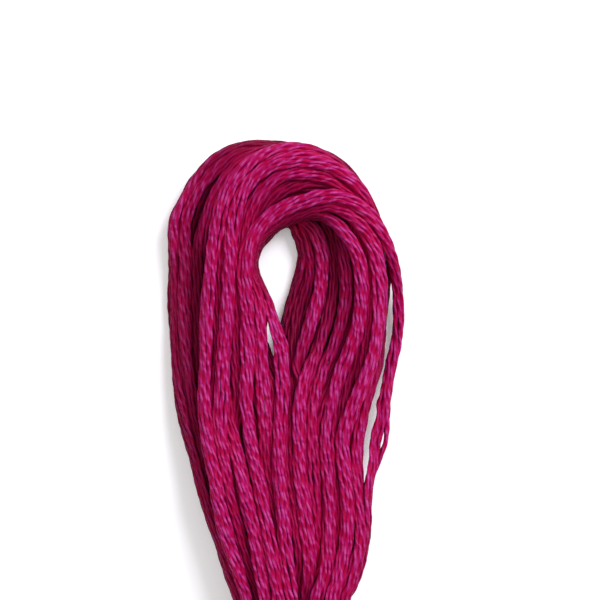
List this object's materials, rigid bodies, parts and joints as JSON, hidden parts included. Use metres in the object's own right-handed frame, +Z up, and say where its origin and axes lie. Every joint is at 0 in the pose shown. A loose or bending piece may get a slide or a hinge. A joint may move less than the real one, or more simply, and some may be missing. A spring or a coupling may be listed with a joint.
{
  "type": "skein of fine stranded macrame cord",
  "caption": "Flat skein of soft six-strand cotton cord, lying on its back: looped crown with a narrow eye, rolled turns, gathered run and a plain looped far end.",
  "frame": {"origin": "centre of the bounding box in X and Y, on the surface that the skein lies on", "axes": "+Y along the skein towards its looped crown, +X to the right seen from above with the crown up, +Z up off the surface"},
  "size_m": [0.024, 0.1548, 0.0067],
  "materials": {
    "cotton_cord": "magenta mercerised cotton, two-ply strands, soft satin lustre, fine fuzz"
  },
  "bodies": {
    "root": {"skein": "cotton_cord"}
  },
  "joints": []
}
